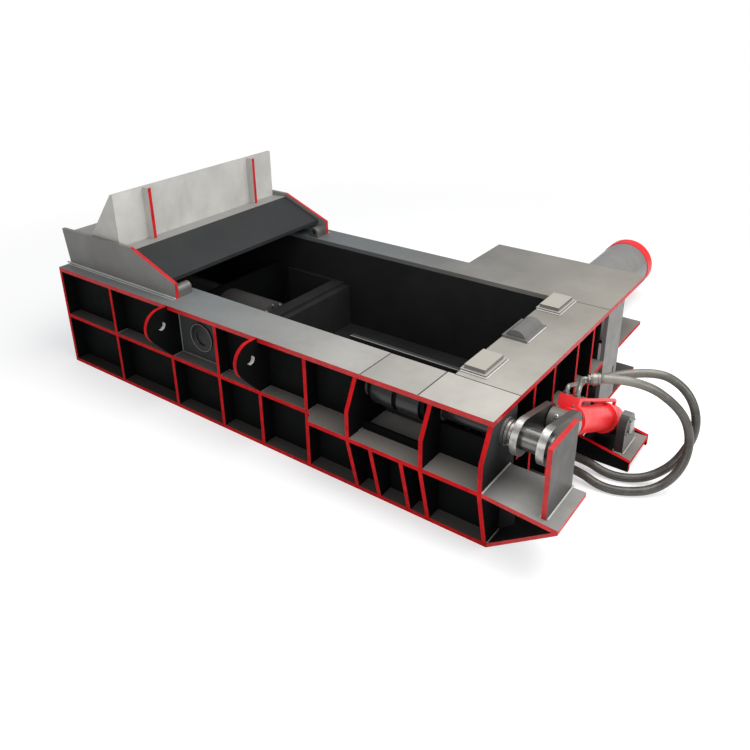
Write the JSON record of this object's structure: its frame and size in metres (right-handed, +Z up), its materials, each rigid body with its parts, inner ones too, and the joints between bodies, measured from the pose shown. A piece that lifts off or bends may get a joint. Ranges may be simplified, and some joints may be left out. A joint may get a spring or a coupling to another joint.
{
  "type": "metal baling press",
  "caption": "Hydraulic scrap metal baler: welded ribbed press body, main and side rams with cylinders, and a turn-out cradle driven by a lever and its own cylinder",
  "frame": {"origin": "on the floor under the corner of the press chamber where the bale is formed, where the end wall's inner face meets the near wall's inner face", "axes": "+X along the machine towards the turn-out lever and its drive, +Y from the near wall across the chamber to the side ram, +Z up"},
  "size_m": [4.2292, 3.744, 1.34],
  "materials": {
    "light_paint": "satin machine enamel, light warm grey with red painted edges",
    "slate_paint": "satin machine enamel, dark grey",
    "red_paint": "gloss machine enamel, signal red",
    "bare_steel": "machined bare steel",
    "chrome_rod": "ground hard-chrome plating",
    "bronze": "machined bronze",
    "hose_rubber": "smooth hose cover, semi-matt dark grey",
    "dull_steel": "mill-scale plate, dark"
  },
  "bodies": {
    "body": {"base_plate": "slate_paint", "bay_panels": "slate_paint", "bearing_plate": "light_paint", "bulkheads": "bare_steel", "cover_ring": "slate_paint", "cylinder_mounts": "slate_paint", "end_pads": "light_paint", "end_ribs": "slate_paint", "end_skin": "dull_steel", "end_top_plate": "light_paint", "far_foot": "slate_paint", "far_ribs": "slate_paint", "far_skin": "dull_steel", "far_top_plate": "light_paint", "floor_beams": "slate_paint", "floor_plates": "dull_steel", "half_round_block": "light_paint", "housing_plates": "light_paint", "housing_top_plate": "light_paint", "lid_hinge_knuckles": "bronze", "main_cylinder": "light_paint", "mid_rails": "slate_paint", "near_lug_ribs": "slate_paint", "near_ribs": "slate_paint", "near_skin": "dull_steel", "near_top_plates": "light_paint", "rear_plate": "slate_paint", "shaft_bushes": "bronze", "shaft_ribs": "slate_paint", "shelf": "light_paint", "side_cylinder": "light_paint", "side_cylinder_cap": "red_paint", "tower_cheeks": "light_paint", "tower_deck": "slate_paint", "tower_upright": "light_paint", "trunnion_pedestals": "light_paint"},
    "main_ram": {"main_ram_head": "dull_steel", "main_ram_guides": "dull_steel", "main_rod": "chrome_rod"},
    "side_ram": {"side_ram_face": "dull_steel", "side_ram_body": "dull_steel", "side_rod": "chrome_rod"},
    "turn_out": {"turn_shaft": "bare_steel", "turn_arms": "slate_paint", "turn_drum": "slate_paint", "turn_flap": "light_paint", "cradle_back_plate": "dull_steel", "cradle_floor_plate": "dull_steel", "lever_cheeks": "bare_steel", "lever_hub": "bare_steel", "lever_pin_ends": "bare_steel"},
    "barrel_body": {"turn_barrel": "red_paint", "turn_trunnion": "red_paint", "hose_one": "hose_rubber", "hose_two": "hose_rubber", "turn_fittings": "bare_steel", "port_blocks": "red_paint"},
    "rod_body": {"turn_rod": "chrome_rod", "rod_eye_pin": "bare_steel"}
  },
  "joints": [
    {"name": "main_ram_slide", "type": "slide", "parent": "body", "child": "main_ram", "axis": [1, 0, 0], "range_m": [0, 0.9]},
    {"name": "side_ram_slide", "type": "slide", "parent": "body", "child": "side_ram", "axis": [0, -1, 0], "range_m": [0, 0.759]},
    {"name": "turn_out_swing", "type": "hinge", "parent": "body", "child": "turn_out", "pos_m": [0, -0.145, 0.625], "axis": [1, 0, 0], "range_deg": [0, 95]},
    {"name": "barrel_swing", "type": "hinge", "parent": "body", "child": "barrel_body", "pos_m": [0.526, 0.872, 0.215], "axis": [-1, 0, 0], "range_deg": [0, 8.49]},
    {"name": "rod_slide", "type": "slide", "parent": "barrel_body", "child": "rod_body", "axis": [0, -0.8923, 0.4514], "range_m": [0, 0.414]}
  ],
  "couplings": [
    {"joint": "barrel_swing", "follows": "turn_out_swing", "ratio": 0.089341},
    {"joint": "rod_slide", "follows": "turn_out_swing", "m_per_rad": 0.24969}
  ]
}
